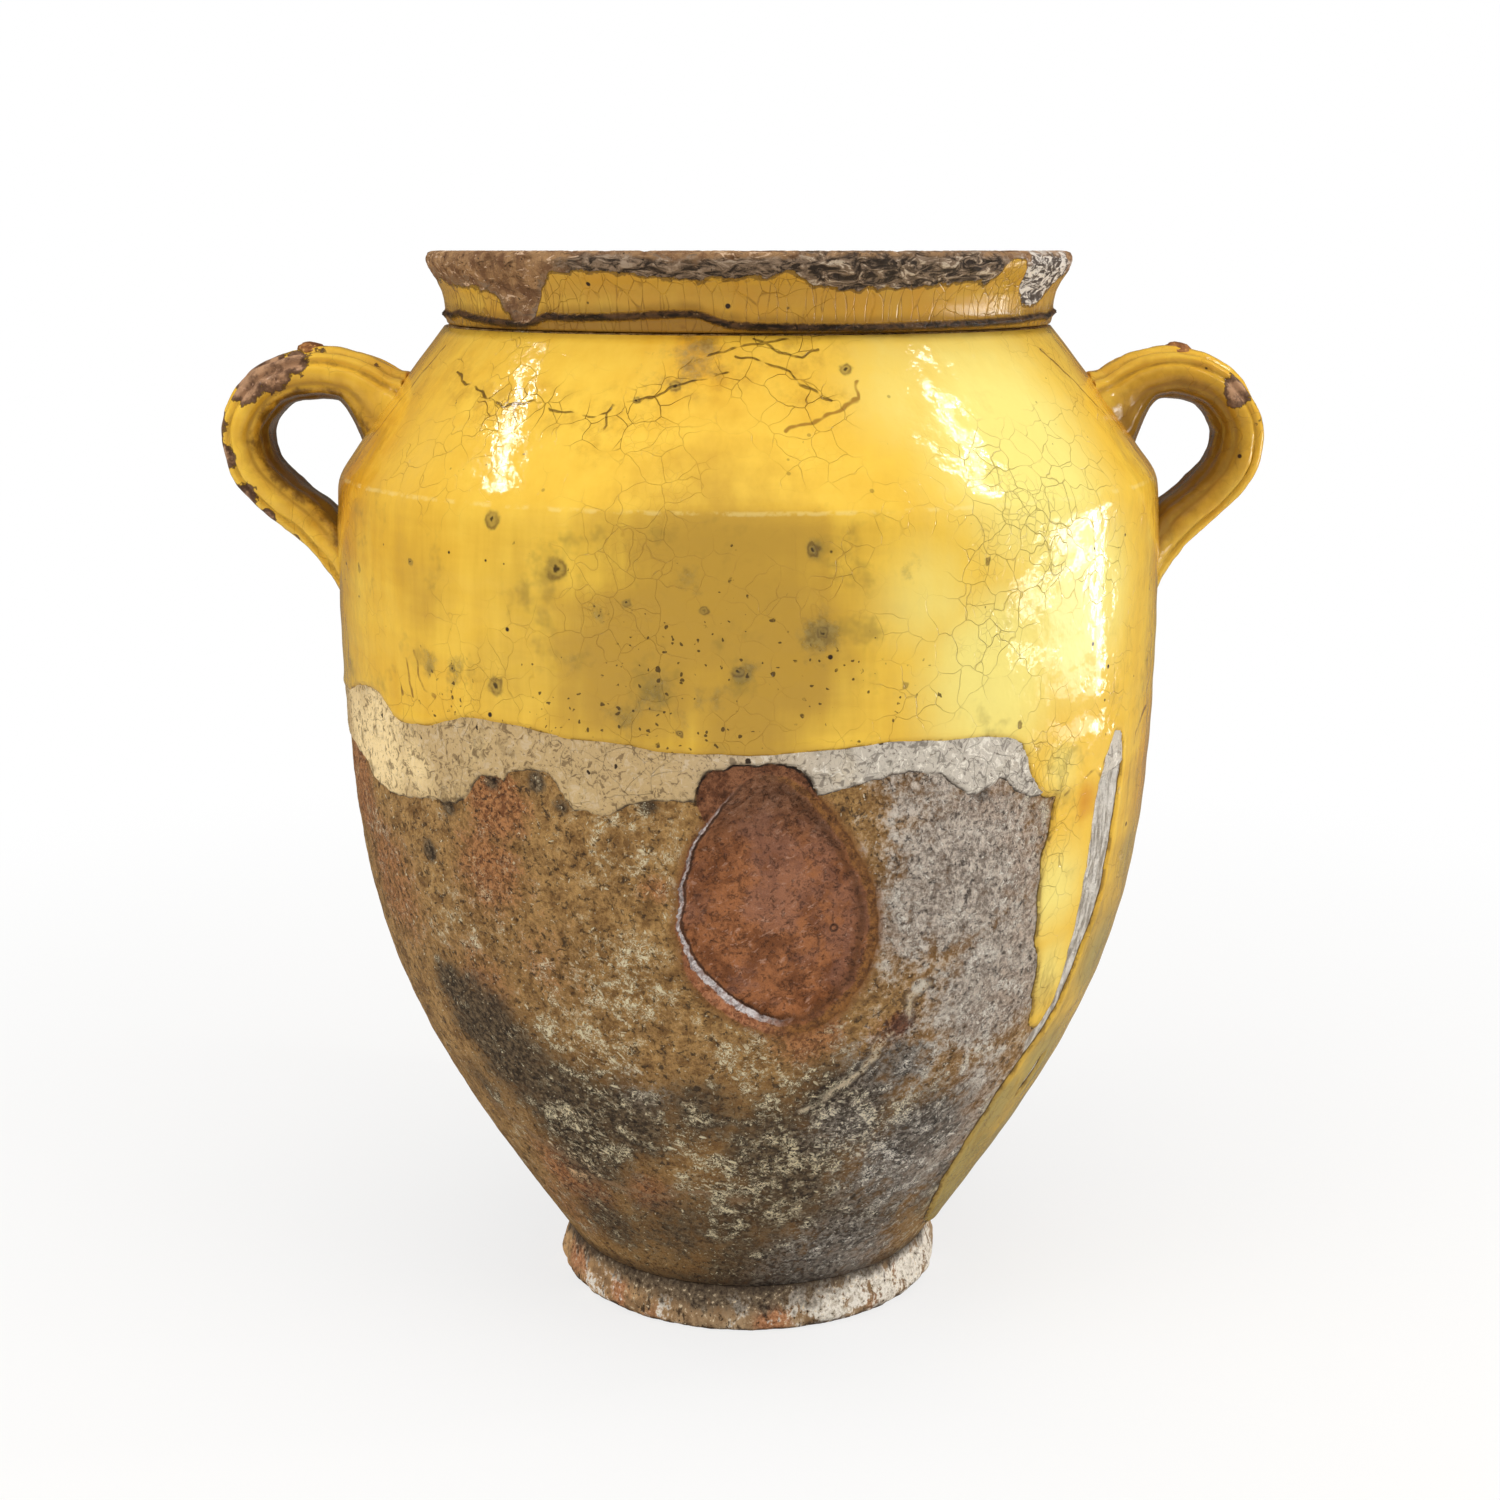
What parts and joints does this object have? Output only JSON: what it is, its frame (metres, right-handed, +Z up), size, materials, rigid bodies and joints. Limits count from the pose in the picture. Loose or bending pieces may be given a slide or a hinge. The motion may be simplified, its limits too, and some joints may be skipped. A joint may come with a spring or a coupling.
{
  "type": "two-handled confit jar",
  "caption": "Shouldered earthenware jar with a flared rim, two strap handles on the shoulder and a dipped yellow glaze over white slip above bare clay.",
  "frame": {"origin": "middle of the ring the foot stands on, at floor level", "axes": "+Z up along the axis the jar was thrown on, -Y to the front with the pear-shaped spall, +X to the right-hand handle"},
  "size_m": [0.3553, 0.28, 0.36],
  "materials": {
    "bare_clay": "matte, sooty unglazed terracotta",
    "foot_clay": "matte, worn unglazed terracotta",
    "collar_glaze": "glossy, bare and chipped along the top",
    "handle_glaze": "glossy, worn brown on the edges",
    "button_clay": "satin",
    "yellow_glaze": "glossy, crackled",
    "white_slip": "satin, stained",
    "lining_glaze": "glossy"
  },
  "bodies": {
    "root": {"lower_body": "bare_clay", "upper_body": "bare_clay", "foot_ring": "foot_clay", "rim_collar": "collar_glaze", "left_handle": "handle_glaze", "right_handle": "handle_glaze", "left_handle_button": "button_clay", "right_handle_button": "button_clay", "outer_glaze": "yellow_glaze", "slip_band": "white_slip", "inner_glaze": "lining_glaze"}
  },
  "joints": []
}
